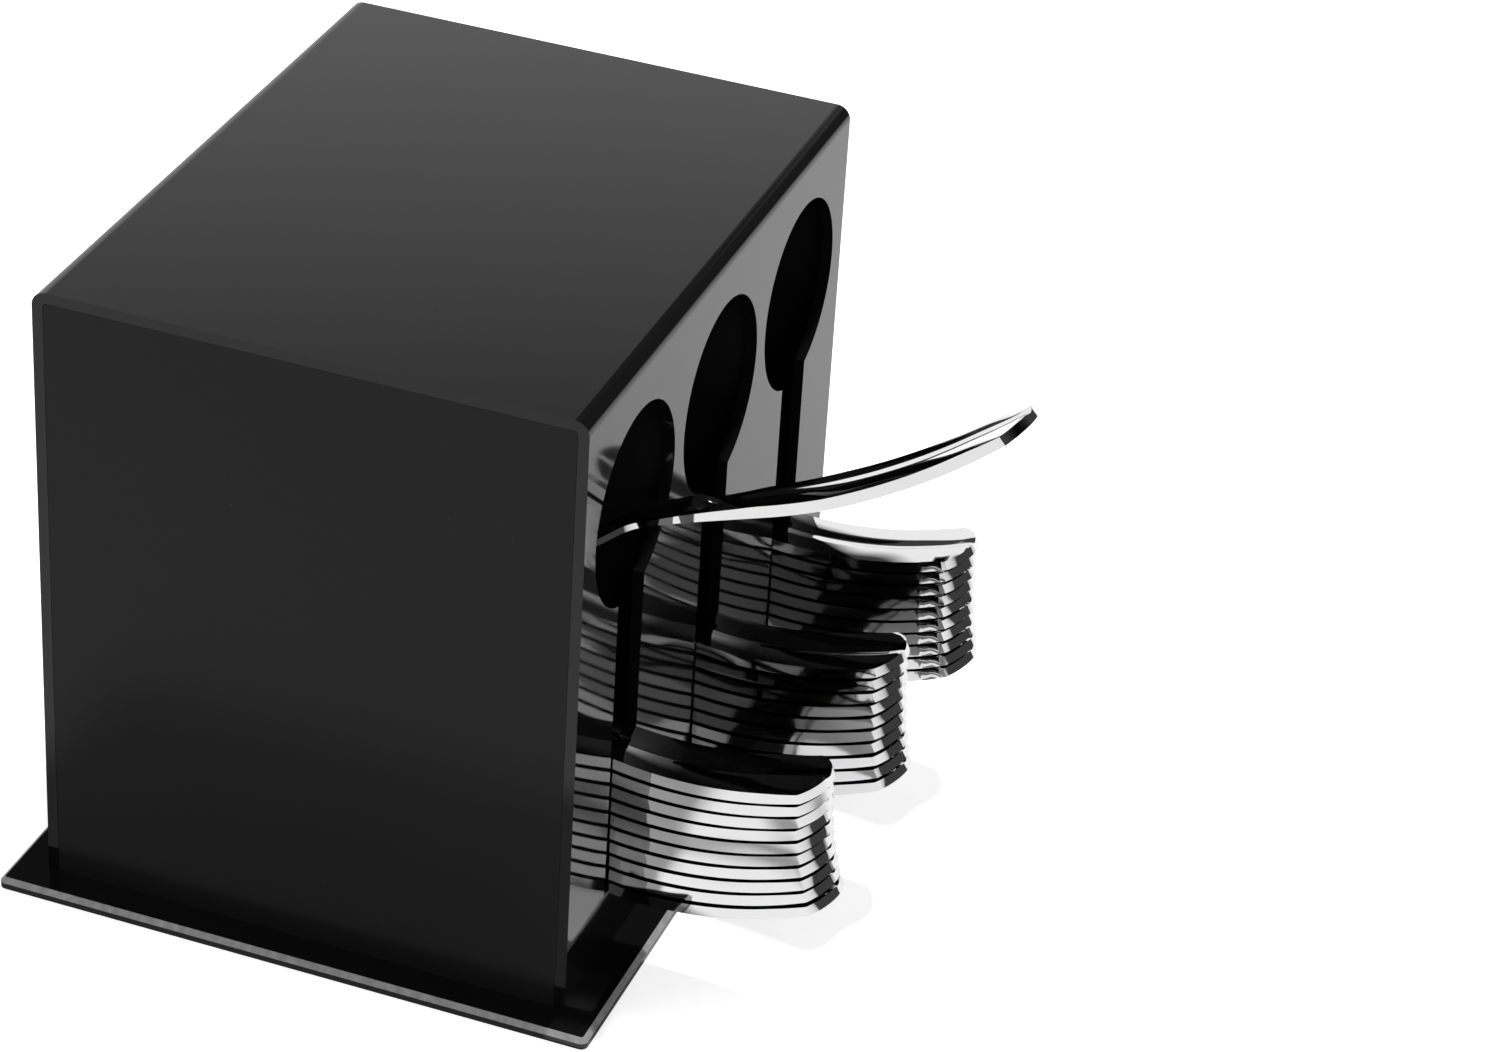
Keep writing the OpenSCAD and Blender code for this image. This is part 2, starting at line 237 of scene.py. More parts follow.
# %% [markdown]
# Where a sheet was cut, its edge is milled and left matte, with the fine marks that a cutter
# leaves across it. On the base plate the bevel shows as a pale grey band. That grey is partly the
# matte milled edge and partly a painted highlight: it is lighter than milled black acrylic, in
# place of the light that the edge reflects. It has no object of its own, but its faces tilt, so
# the material finds it by the direction that the surface faces: the mask is high only between
# level and upright.

# %% Base plate with its milled bevel and painted highlight
MILLED_SCALE = 420.0
MILLED_FROM_TO = (0.3, 0.7)
TILTED_FROM = (0.35, 0.45)
TILTED_TO = (0.88, 0.95)
# The bevel's two greys are partly the matte milled edge and partly a painted highlight, lighter than
# milled black acrylic.
MILLED_AND_HIGHLIGHT_DARK = 0.25
MILLED_AND_HIGHLIGHT_PALE = 0.38
MILLED_BLUR = 0.55


def milled_plate(name):
    material = polished_acrylic(name, WIPED_LEVEL, blur=POLISHED_BLUR, mirror=0.5, black=POLISHED_BLACK)
    tree = material.node_tree
    shader = next(n for n in tree.nodes if n.type == "BSDF_PRINCIPLED")
    normal = add_node(tree, "ShaderNodeNewGeometry").outputs["Normal"]
    parts = add_node(tree, "ShaderNodeSeparateXYZ")
    join(tree, normal, parts.inputs["Vector"])
    upward = parts.outputs["Z"]
    over_level = ramp(tree, upward, *TILTED_FROM, low_value=0.0, high_value=1.0)
    under_upright = ramp(tree, upward, *TILTED_TO, low_value=1.0, high_value=0.0)
    bevel = add_node(tree, "ShaderNodeMath", operation="MULTIPLY")
    join(tree, over_level, bevel.inputs[0])
    join(tree, under_upright, bevel.inputs[1])

    place = add_node(tree, "ShaderNodeTexCoord").outputs["Object"]
    cuts = noise(tree, place, MILLED_SCALE, detail=3.0, stretch=(1, 1, 0.2))
    # Painted highlight: the cutter lines' grey is set lighter than a milled edge, in place of the light
    # that the bevel reflects.
    cutter_lines_and_highlight = ramp(tree, cuts, *MILLED_FROM_TO, low_value=MILLED_AND_HIGHLIGHT_DARK, high_value=MILLED_AND_HIGHLIGHT_PALE)
    grey = add_node(tree, "ShaderNodeCombineColor")
    for channel in ("Red", "Green", "Blue"):
        join(tree, cutter_lines_and_highlight, grey.inputs[channel])

    for socket, milled_and_highlight in (("Base Color", grey.outputs["Color"]), ("Roughness", None)):
        polished = shader.inputs[socket].links[0].from_socket
        mix = add_node(tree, "ShaderNodeMix", data_type="RGBA" if milled_and_highlight else "FLOAT")
        join(tree, bevel.outputs["Value"], mix.inputs["Factor"])
        inputs = [i for i in mix.inputs if i.enabled and i.name in ("A", "B")]
        join(tree, polished, inputs[0])
        if milled_and_highlight:
            join(tree, milled_and_highlight, inputs[1])
        else:
            inputs[1].default_value = MILLED_BLUR
        result = next(o for o in mix.outputs if o.enabled)
        join(tree, result, shader.inputs[socket])
    return material


base_finish = milled_plate("polished_acrylic_base")
print("base plate finish:", base_finish.name)

# %% [markdown]
# The sheets themselves keep their exact measured solids. A real cut edge is never perfectly
# sharp, and a render shows that at once, because a sharp edge can't catch a highlight. A Bevel
# modifier breaks every edge by a fraction of a millimetre without touching the mesh itself.

# %% Finish the housing
SHEET_FINISH = {
    "base_plate": base_finish,
    "housing_wrap": top_and_front,
    "left_side_panel": side_sheets,
    "right_side_panel": side_sheets,
    "left_divider": side_sheets,
    "right_divider": side_sheets,
}
EDGE_BREAK = 0.22 * MM
BREAK_FROM_ANGLE = math.radians(35)
SHEET_SHARP_ANGLE = math.radians(30)


def break_edges(piece, width, segments=2):
    modifier = piece.modifiers.new("broken edges", "BEVEL")
    modifier.width = width
    modifier.segments = segments
    modifier.limit_method = "ANGLE"
    modifier.angle_limit = BREAK_FROM_ANGLE
    modifier.harden_normals = True


for node_name, finish in SHEET_FINISH.items():
    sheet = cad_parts[node_name]
    sheet.data.materials.clear()
    sheet.data.materials.append(finish)
    sheet.data.polygons.foreach_set("use_smooth", [True] * len(sheet.data.polygons))
    sheet.data.set_sharp_from_angle(angle=SHEET_SHARP_ANGLE)
    break_edges(sheet, EDGE_BREAK)
print("sheets finished:", len(SHEET_FINISH))

# %% [markdown]
# Each piece of cutlery lies face down. From the side, its handle is an arc that sags in front of
# the sheet, then a straight neck that rises, and then a head that bends down to the floor. One
# function gives, for any distance y from the front sheet, the underside's height and its slope.
# Working from such a function keeps the curve smooth at any fineness, which a traced outline
# wouldn't.

# %% Side view of the cutlery
LOW_Y = -2.0
RISE = math.radians(6)
HANDLE_OUT = 56.0
BEND_R = 108.0
LIFTED_BEND_R = 194.0
NECK_Y = 50.0
INNER_LEN = 126.0
HANDLE_T = 3.0
HEAD_T = 1.8
SILL_H = 19.8
FLOOR_GAP = 0.3
BLADE_BEND_R = 60.0
RIB_START = 30.0


def rise_point(r):
    return LOW_Y + r * math.sin(RISE), r * (1 - math.cos(RISE))


def neck_height(r):
    y, z = rise_point(r)
    return z + (NECK_Y - y) * math.tan(RISE)


def neck_run(r):
    return (NECK_Y - rise_point(r)[0]) / math.cos(RISE)


REST_END = math.asin((HANDLE_OUT + LOW_Y) / BEND_R)
HANDLE_L = BEND_R * (RISE + REST_END) + neck_run(BEND_R)


def tip_y(r):
    return LOW_Y - r * math.sin((HANDLE_L - neck_run(r)) / r - RISE)


HEAD_FALL = neck_height(BEND_R) + SILL_H - FLOOR_GAP
HEAD_RUN = INNER_LEN - NECK_Y
HEAD_TURN = 2 * (RISE + math.atan(HEAD_FALL / HEAD_RUN))
HEAD_BEND_R = math.hypot(HEAD_RUN, HEAD_FALL) / (2 * math.sin(HEAD_TURN / 2))
HEAD_END_Y = INNER_LEN + HEAD_T * math.sin(HEAD_TURN - RISE)


def underside(y, kind, r):
    """Height and slope of the underside at y, for a handle bent to radius r."""
    rise_y, rise_z = rise_point(r)
    if y <= rise_y:
        down = math.sqrt(r * r - (y - LOW_Y) ** 2)
        return r - down, (y - LOW_Y) / down
    if y <= NECK_Y:
        return rise_z + (y - rise_y) * math.tan(RISE), math.tan(RISE)
    bend = BLADE_BEND_R if kind == "knife" else HEAD_BEND_R
    centre_y = NECK_Y + bend * math.sin(RISE)
    centre_z = neck_height(r) - bend * math.cos(RISE)
    if kind == "knife":
        run = INNER_LEN - centre_y
        fall = neck_height(r) - HEAD_FALL - centre_z
        blade = math.atan2(run, fall) - math.acos(bend / math.hypot(run, fall))
        blade_y = centre_y + bend * math.sin(blade)
        if y > blade_y:
            blade_z = centre_z + bend * math.cos(blade)
            return blade_z - (y - blade_y) * math.tan(blade), -math.tan(blade)
    up = math.sqrt(bend * bend - (y - centre_y) ** 2)
    return centre_z + up, -(y - centre_y) / up


print("piece length in plan", round(HEAD_END_Y - tip_y(BEND_R), 1), "mm")
print("head bend radius", round(HEAD_BEND_R, 1), "mm")

# %% [markdown]
# Seen from above, a piece is an outline: a round end with two clear corners, sides that taper
# to the slot and on to the neck, and then a head. Outlines are lists of points, with every round
# stretch made by one arc helper, so they have only the points that their shape needs.

# %% Outline helpers
HANDLE_END_W = 19.6
HANDLE_SLOT_W = 16.6
HANDLE_END_R = 12.0
SHOULDER = 6.0
NECK_W = 8.0
NECK_FILLET = 8.0
ON_MIDDLE_LINE = 1e-6


def arc(x, y, r, from_angle, to_angle, steps):
    angles = [from_angle + (to_angle - from_angle) * k / steps for k in range(steps + 1)]
    return [(x + r * math.sin(a), y + r * math.cos(a)) for a in angles]


def mirrored(points):
    """The outline's left half, from its right half, in the order that closes the ring."""
    return [(-x, y) for x, y in reversed(points) if x > ON_MIDDLE_LINE]


def handle_half(r):
    """Right side of the handle, from the middle of its end to the neck."""
    end = tip_y(r)
    spread = math.asin(HANDLE_END_W / 2 / HANDLE_END_R)
    points = arc(0, end + HANDLE_END_R, HANDLE_END_R, math.pi, math.pi - spread, steps=10)
    points += [(HANDLE_END_W / 2, end + SHOULDER), (HANDLE_SLOT_W / 2, 0)]
    return points + [(NECK_W / 2, NECK_Y - NECK_FILLET)]


def flare_half(x, y, r, steps=8):
    """Arc from the neck's side to a head's round side, which has its centre at (x, y)."""
    corner_x = NECK_W / 2 + NECK_FILLET
    corner_y = y - math.sqrt((r + NECK_FILLET) ** 2 - (corner_x - x) ** 2)
    meet = math.atan2(x - corner_x, y - corner_y)
    return arc(corner_x, corner_y, NECK_FILLET, -math.pi / 2, meet, steps)


print("handle outline has", len(handle_half(BEND_R)), "points a side")

# %% [markdown]
# The fork's head is a plate with three slots that widen towards the tips, so the four tines
# taper. The outline walks down one side of each slot, round its root and up the other side, and
# each tine ends in a small half round.

# %% Fork outline
FORK_W = 26.0
FORK_FLARE_L = 20.0
FORK_Y = NECK_Y + FORK_FLARE_L
TINE_GAP = 2.6
TINE_L = 38.0
TINE_W = (FORK_W - 3 * TINE_GAP) / 4
TINE_PITCH = TINE_W + TINE_GAP
TINE_TIP_W = TINE_PITCH - 2 * TINE_GAP
OUTER_TINE_EXTRA = 0.9
TINE_ENDS_R = 1.5 * FORK_W
SHOULDER_FROM = math.radians(150)
SHOULDER_TO = math.radians(90)


def tine_end(x, width):
    """Half round at the end of the tine whose middle is at x, from right to left."""
    drop = TINE_ENDS_R - math.sqrt(TINE_ENDS_R ** 2 - x * x)
    y = HEAD_END_Y - drop - width / 2
    return arc(x, y, width / 2, math.pi / 2, -math.pi / 2, steps=6)


def slot_root(x):
    """Half round at the bottom of the slot at x, from right to left."""
    return arc(x, HEAD_END_Y - TINE_L, TINE_GAP / 2, math.pi / 2, 3 * math.pi / 2, steps=6)


def fork_outline(r):
    outer_x = 1.5 * TINE_PITCH + (FORK_W / 2 - 1.5 * TINE_PITCH - TINE_TIP_W / 2) / 2
    right = handle_half(r) + flare_half(0, FORK_Y, FORK_W / 2)
    right += arc(0, FORK_Y, FORK_W / 2, SHOULDER_FROM, SHOULDER_TO, steps=8)
    right += tine_end(outer_x, TINE_TIP_W + OUTER_TINE_EXTRA)
    right += slot_root(TINE_PITCH)
    right += tine_end(TINE_PITCH / 2, TINE_TIP_W)
    return right + slot_root(0) + mirrored(right)


print("fork outline has", len(fork_outline(BEND_R)), "points")

# %% [markdown]
# The spoon's bowl is egg-shaped: two wide arcs for its sides, and a smaller circle for its tip
# that touches both. The knife's blade has a straight back and a fine saw edge, and rounds off
# from the edge towards the back at its tip.

# %% Spoon and knife outlines
SPOON_W = 40.0
SPOON_BACK_L = 36.0
SPOON_TIP_L = 29.0
SPOON_CROSS_R = 44.0
BLADE_W = 17.0
SAW_START = 4.0
TOOTH = 1.6
TOOTH_DEPTH = 0.45


def spoon_outline(r):
    side_r = (SPOON_BACK_L ** 2 + SPOON_W ** 2 / 4) / SPOON_W
    side_x = side_r - SPOON_W / 2
    wide_y = HEAD_END_Y - SPOON_TIP_L
    tip_r = (side_r ** 2 - side_x ** 2 - SPOON_TIP_L ** 2) / (2 * (side_r - SPOON_TIP_L))
    tip_centre = HEAD_END_Y - tip_r
    meet = math.atan2(side_x, tip_centre - wide_y)
    flare = flare_half(-side_x, wide_y, side_r)
    start = math.atan2(flare[-1][0] + side_x, flare[-1][1] - wide_y)
    right = handle_half(r) + flare
    right += arc(-side_x, wide_y, side_r, start, meet, steps=16)[1:]
    right += arc(0, tip_centre, tip_r, meet, 0, steps=10)[1:]
    return right + mirrored(right)


def knife_outline(r):
    blade_y = NECK_Y + NECK_FILLET
    tip_start = HEAD_END_Y - BLADE_W
    handle = handle_half(r)
    edge = [(BLADE_W / 2, blade_y)]
    for k in range(1, int((tip_start - blade_y - SAW_START) / TOOTH)):
        y = blade_y + SAW_START + k * TOOTH
        edge += [(BLADE_W / 2, y - TOOTH / 2), (BLADE_W / 2 - TOOTH_DEPTH, y)]
    tip = arc(-BLADE_W / 2, tip_start, BLADE_W, math.pi / 2, 0, steps=14)
    back = [(-BLADE_W / 2, blade_y + NECK_FILLET), (-NECK_W / 2, NECK_Y)]
    return handle + [(NECK_W / 2, NECK_Y)] + edge + tip + back + mirrored(handle)


OUTLINES = {"fork": fork_outline, "knife": knife_outline, "spoon": spoon_outline}
print({kind: len(outline(BEND_R)) for kind, outline in OUTLINES.items()})

# %% [markdown]
# To turn an outline into a piece, the flat shape first gets a few narrow rings along its rim, for
# the rounded edges. Then it is sliced crosswise every few millimetres, so that it can bend, and
# lengthwise where the flute and the neck's rib run. A Bevel modifier could round the edges too,
# but it stops at the narrowest slice, and here slices may be as narrow as they like.

# %% Cut up the flat shape
TOP_ROUND = 0.26
UNDER_ROUND = 0.16
RIM_RINGS = (0.02, 0.08, 0.15, TOP_ROUND)
SLICE = 2.6
FLUTE_W = 5.0
LENGTHWISE = (0.0, 0.7, 1.3, 1.8, 2.15, 2.5)
BOWL_SLICE = 3.2
BOWL_SLICES = 6
ON_THE_CUT = 1e-5


def slice_flat(mesh, axis, places):
    normal = Vector((1, 0, 0)) if axis == 0 else Vector((0, 1, 0))
    for place in places:
        everything = mesh.verts[:] + mesh.edges[:] + mesh.faces[:]
        bmesh.ops.bisect_plane(
            mesh, geom=everything, plane_co=normal * place, plane_no=normal, dist=ON_THE_CUT)


def flat_piece(kind, r):
    mesh = bmesh.new()
    inner = mesh.faces.new([mesh.verts.new((x, y, 0)) for x, y in OUTLINES[kind](r)])
    done = 0.0
    for ring in RIM_RINGS:
        bmesh.ops.inset_region(mesh, faces=[inner], thickness=ring - done, use_even_offset=True)
        done = ring
    start = tip_y(r)
    count = int((HEAD_END_Y - start) / SLICE)
    slice_flat(mesh, 1, [start + (k + 0.5) * SLICE for k in range(count)])
    lengthwise = [s * x for x in LENGTHWISE for s in (1, -1)]
    if kind == "spoon":
        lengthwise += [s * BOWL_SLICE * k for k in range(1, BOWL_SLICES + 1) for s in (1, -1)]
    slice_flat(mesh, 0, sorted(set(lengthwise)))
    return mesh


flat = flat_piece("fork", BEND_R)
print("one flat fork:", len(flat.verts), "points,", len(flat.faces), "faces")
flat.free()

# %% [markdown]
# How much the rim is rounded depends on how far a point lies from the outline. That distance is
# the shortest one to any of the outline's straight bits, which a short loop finds.

# %% Distance from the rim


def distance_to_outline(x, y, ring):
    nearest = RIM_RINGS[-1] ** 2
    for k, (ax, ay) in enumerate(ring):
        bx, by = ring[k - 1]
        ux, uy = bx - ax, by - ay
        along = ((x - ax) * ux + (y - ay) * uy) / (ux * ux + uy * uy)
        along = min(max(along, 0.0), 1.0)
        nearest = min(nearest, (x - ax - along * ux) ** 2 + (y - ay - along * uy) ** 2)
    return math.sqrt(nearest)


def rounding(distance, radius):
    """How far a rounded edge lies inside the sharp one, at a distance from the rim."""
    if distance >= radius:
        return 0.0
    return radius - math.sqrt(radius ** 2 - (radius - distance) ** 2)


print("rounding at the rim:", rounding(0, TOP_ROUND), "mm")

# %% [markdown]
# Now every point of the flat shape moves to its place on the side view: once for the underside
# and once, a thickness further out, for the top. The flute lowers the top and the neck's rib
# raises it. The two skins are joined round the rim. This gives clean, closed meshes for forks,
# knives and spoons alike, where a boolean of solids would leave slivers. The photograph shows the
# handles thicker than the measured solids, so they swell by half a millimetre between the end
# and the neck, which still leaves air between the layers of a stack.

# %% From flat shape to solid
PLUMP = 0.5
PLUMP_FROM_Y = -54.0
PLUMP_CLIMB = 14.0
PLUMP_FADE = 12.0
FLUTE_DEPTH = 0.55
FLUTE_CURVE = 1.2
FLUTE_END = 28.0
FLUTE_FADE = 6.0
RIB_W = 3.6
RIB_CLIMB = 8.0
RIB_END_Y = 68.0
RIB_SIDE = 0.7
BOWL_CLIMB = 6.0
PIECE_SHARP_ANGLE = math.radians(34)


def smooth_step(t):
    t = min(max(t, 0.0), 1.0)
    return t * t * (3 - 2 * t)


def thickness(y):
    if y <= RIB_START:
        swelling = PLUMP * smooth_step((y - PLUMP_FROM_Y) / PLUMP_CLIMB)
        return HANDLE_T + swelling * smooth_step((RIB_START - y) / PLUMP_FADE)
    share = min((y - RIB_START) / (NECK_Y - RIB_START), 1.0)
    return HANDLE_T + (HEAD_T - HANDLE_T) * share


def top_relief(x, y, rib_height):
    """How far the top stands over a plain plate: the flute is below it, the rib above it."""
    flute = FLUTE_DEPTH * max(0.0, 1 - abs(2 * x / FLUTE_W) ** FLUTE_CURVE)
    flute *= smooth_step((FLUTE_END - y) / FLUTE_FADE)
    rib = smooth_step((y - RIB_START) / RIB_CLIMB)
    rib *= smooth_step((RIB_END_Y - y) / (RIB_END_Y - NECK_Y))
    rib *= smooth_step((RIB_W / 2 + RIB_SIDE / 2 - abs(x)) / RIB_SIDE)
    return rib * rib_height - flute


def bowl_drop(x, y, kind):
    if kind != "spoon" or y <= NECK_Y:
        return 0.0
    sink = SPOON_CROSS_R - math.sqrt(SPOON_CROSS_R ** 2 - x * x)
    return sink * smooth_step((y - NECK_Y) / BOWL_CLIMB)


def piece_point(x, y, out, kind, r):
    z, slope = underside(y, kind, r)
    length = math.hypot(1, slope)
    out -= bowl_drop(x, y, kind)
    return Vector((x, y - out * slope / length, z + out / length)) * MM


def skins(x, y, edge, rib_height):
    """Heights of the top and of the underside over the plain underside."""
    thick = thickness(y)
    softer = min(1.0, thick / HANDLE_T)
    top = thick + top_relief(x, y, rib_height) - rounding(edge, TOP_ROUND * softer)
    return top, rounding(edge, UNDER_ROUND * softer)


def solid_piece(name, kind, r, rib_height):
    flat = flat_piece(kind, r)
    flat.verts.index_update()
    outline = OUTLINES[kind](r)
    solid = bmesh.new()
    top, under = [], []
    for v in flat.verts:
        x, y = v.co.x, v.co.y
        high, low = skins(x, y, distance_to_outline(x, y, outline), rib_height)
        top.append(solid.verts.new(piece_point(x, y, high, kind, r)))
        under.append(solid.verts.new(piece_point(x, y, low, kind, r)))
    for face in flat.faces:
        index = [v.index for v in face.verts]
        solid.faces.new([top[i] for i in index])
        solid.faces.new([under[i] for i in reversed(index)])
    for edge in flat.edges:
        if edge.is_boundary:
            a, b = (v.index for v in edge.verts)
            solid.faces.new([under[a], under[b], top[b], top[a]])
    flat.free()
    bmesh.ops.recalc_face_normals(solid, faces=solid.faces[:])
    data = bpy.data.meshes.new(name)
    solid.to_mesh(data)
    solid.free()
    data.polygons.foreach_set("use_smooth", [True] * len(data.polygons))
    data.set_sharp_from_angle(angle=PIECE_SHARP_ANGLE)
    return data


TRIAL_RIB = 1.5
trial = solid_piece("trial", "fork", BEND_R, TRIAL_RIB)
print("one fork:", len(trial.vertices), "points,", len(trial.polygons), "faces")
bpy.data.meshes.remove(trial)

# %% [markdown]
# The cutlery is moulded plastic under a thin mirror coat of metal. Such a coat is brighter than
# steel, its reflections wobble a little with the moulding, and the light blurs slightly along
# the handle, where the mould was polished. A metallic shader with low roughness does that, with
# two noises: a long soft wave in the bump, and fine streaks in the roughness.

# %% Mirror coat
COAT_COOL = (0.78, 0.78, 0.79, 1)
COAT_WARM = (0.84, 0.835, 0.83, 1)
STREAK_SCALE = 160.0
STREAK_FROM_TO = (0.3, 0.75)
STREAK_BLUR = (0.02, 0.07)
WOBBLE_SCALE = 40.0
WOBBLE_DEPTH = 0.0012


def mirror_coat(name):
    material, tree, shader = new_material(name)
    place = add_node(tree, "ShaderNodeTexCoord").outputs["Object"]
    shader.inputs["Metallic"].default_value = 1.0
    tint = add_node(tree, "ShaderNodeMix", data_type="RGBA")
    tint.inputs["A"].default_value = COAT_COOL
    tint.inputs["B"].default_value = COAT_WARM
    join(tree, noise(tree, place, WOBBLE_SCALE), tint.inputs["Factor"])
    join(tree, tint.outputs["Result"], shader.inputs["Base Color"])
    streaks = noise(tree, place, STREAK_SCALE, detail=3.0, stretch=(1, 0.06, 1))
    blur = ramp(tree, streaks, *STREAK_FROM_TO, *STREAK_BLUR)
    join(tree, blur, shader.inputs["Roughness"])
    own = add_node(tree, "ShaderNodeObjectInfo").outputs["Random"]
    shifted = add_node(tree, "ShaderNodeVectorMath", operation="ADD")
    join(tree, place, shifted.inputs[0])
    join(tree, own, shifted.inputs[1])
    bump = add_node(tree, "ShaderNodeBump")
    bump.inputs["Strength"].default_value = 1.0
    bump.inputs["Distance"].default_value = WOBBLE_DEPTH
    moved = shifted.outputs["Vector"]
    wobble = noise(tree, moved, WOBBLE_SCALE, detail=1.0, stretch=(1, 0.7, 1))
    join(tree, wobble, bump.inputs["Height"])
    join(tree, bump.outputs["Normal"], shader.inputs["Normal"])
    return material


silver = mirror_coat("mirror_coat")
print("cutlery finish:", silver.name)

# %% [markdown]
# A stack is one shape placed ten times. Each piece lies a step higher than the one below, tips
# up a little more because heads are thicker than handles, and the lowest ones have slid out
# furthest. The same rule places the measured solids, so each new mesh stands exactly where its
# solid does, and takes its place in the picture. A column is written as its name, its kind, its
# place across, the step and the tip in degrees from layer to layer, and its share of the slide.

# %% Place the stacks
STACK_COUNT = 10
COLUMN_PITCH = 60.5
SEAT_GAP = 0.4
SLIDE_OUT = 6.0
UNEVENNESS = 0.15
TURN_PER_LAYER = 137
TURN_PER_COLUMN = 71
FORK_STEP = 4.45
FORK_FAN = 0.8
COLUMNS = (
    ("left_fork_", "fork", -COLUMN_PITCH, FORK_STEP, FORK_FAN, 1.0),
    ("middle_knife_", "knife", 0.0, 4.45, 0.55, 0.7),
    ("right_spoon_", "spoon", COLUMN_PITCH, 4.3, 0.5, 0.6),
)
BODY_OF = {
    "middle_knife_10": "top_knife",
    "right_spoon_10": "top_spoon",
    "left_fork_lifted": "lifted_fork",
}
RIB_CREST_Y = 0.9 * NECK_Y
RIB_PLAY = 0.35
sill_z = base_top / MM + SILL_H


def rib_height_for(pitch, fan):
    """The rib almost fills the air under the next piece, which tips up by fan degrees more."""
    return pitch + RIB_CREST_Y * math.sin(math.radians(fan)) - SEAT_GAP - HEAD_T - RIB_PLAY


def slid_out(column, layer, share):
    drop = ((STACK_COUNT - layer) / (STACK_COUNT - 1)) ** 2
    wobble = 0.0
    if layer < STACK_COUNT:
        turn = TURN_PER_LAYER * layer + TURN_PER_COLUMN * column
        wobble = UNEVENNESS * math.sin(math.radians(turn))
    return SLIDE_OUT * share * drop + wobble


def place_piece(node_name, data, matrix):
    piece = bpy.data.objects.new(node_name + "_piece", data)
    bpy.context.scene.collection.objects.link(piece)
    piece.matrix_world = matrix
    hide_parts(node_name)
    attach(piece, BODY_OF.get(node_name, "housing"))


for column, (prefix, kind, x, pitch, fan, share) in enumerate(COLUMNS):
    data = solid_piece(kind, kind, BEND_R, rib_height_for(pitch, fan))
    data.materials.append(silver)
    for layer in range(1, STACK_COUNT + 1):
        name = prefix + str(layer)
        out = slid_out(column, layer, share)
        place = Matrix.Translation(Vector((
            x * MM, front_y - out * MM, (sill_z + (layer - 1) * pitch) * MM)))
        tip = Matrix.Rotation(math.radians((layer - 1) * fan), 4, "X")
        place_piece(name, data, place @ tip)
    print(prefix, "stack placed")

# %% [markdown]
# One fork is on its way out. It is tipped up, rolled a little, and its handle is straightened by
# the pull. Its place is given by the spot on it that passes through the front sheet just now,
# which is what the eye checks, so the matrices are multiplied in that order.

# %% Place the lifted fork
LIFT_TIP = math.radians(27.4)
LIFT_ROLL = math.radians(-3.6)
LIFT_AT = 56.8
LIFT_DROP = 5.5
HOLE_R = 27.0
LAND_OVER_HOLE = 14.5
HOLE_BELOW_TOP = LAND_OVER_HOLE + HOLE_R
hole_z = wrap_high.z - HOLE_BELOW_TOP * MM
grip_z = neck_height(LIFTED_BEND_R) - (NECK_Y - LIFT_AT) * math.tan(RISE)
lift_place = (
    Matrix.Translation(Vector((-COLUMN_PITCH * MM, front_y, hole_z - LIFT_DROP * MM)))
    @ Matrix.Rotation(-LIFT_TIP, 4, "X")
    @ Matrix.Rotation(-LIFT_ROLL, 4, "Y")
    @ Matrix.Translation(Vector((0, -LIFT_AT * MM, -grip_z * MM))))
lifted_data = solid_piece("left_fork_lifted", "fork", LIFTED_BEND_R, rib_height_for(FORK_STEP, FORK_FAN))
lifted_data.materials.append(silver)
place_piece("left_fork_lifted", lifted_data, lift_place)
print("lifted fork placed at", [round(v, 3) for v in lift_place.translation])

# %% [markdown]
# The photograph was cut out on white, so the floor is a plain white sheet. For the camera it also
# glows a little, which Light Path switches, so that it reads as white paper. Mirrors need more
# than white, though: the dark flanks of the stacks are the shadows that lie on the floor between
# them. So a mirror sees less of the glow, and more of the floor as the lamps light it.

# %% Floor
FLOOR_SIZE = 6.0
UNDER_THE_BASE = 0.0002
floor_mesh = bpy.data.meshes.new("floor")
half = FLOOR_SIZE / 2
floor_mesh.from_pydata(
    [(-half, -half, 0), (half, -half, 0), (half, half, 0), (-half, half, 0)], [], [(0, 1, 2, 3)])
floor = bpy.data.objects.new("floor", floor_mesh)
bpy.context.scene.collection.objects.link(floor)
floor.location.z = base_low.z - UNDER_THE_BASE


def mirror_ray(tree, path):
    """1 for the rays that a mirror or a clear sheet sends on, and 0 for the rest."""
    either = add_node(tree, "ShaderNodeMath", operation="MAXIMUM")
    join(tree, path.outputs["Is Glossy Ray"], either.inputs[0])
    join(tree, path.outputs["Is Transmission Ray"], either.inputs[1])
    return either.outputs["Value"]


def ray_level(tree, plain, camera_level, mirror_level):
    """One strength for light that falls on things, one for the camera and one for mirrors."""
    path = add_node(tree, "ShaderNodeLightPath")
    to_camera = add_node(tree, "ShaderNodeMix", data_type="FLOAT")
    to_camera.inputs["A"].default_value = plain
    to_camera.inputs["B"].default_value = camera_level
    join(tree, path.outputs["Is Camera Ray"], to_camera.inputs["Factor"])
    to_mirror = add_node(tree, "ShaderNodeMix", data_type="FLOAT")
    to_mirror.inputs["B"].default_value = mirror_level
    join(tree, to_camera.outputs["Result"], to_mirror.inputs["A"])
    join(tree, mirror_ray(tree, path), to_mirror.inputs["Factor"])
    return to_mirror


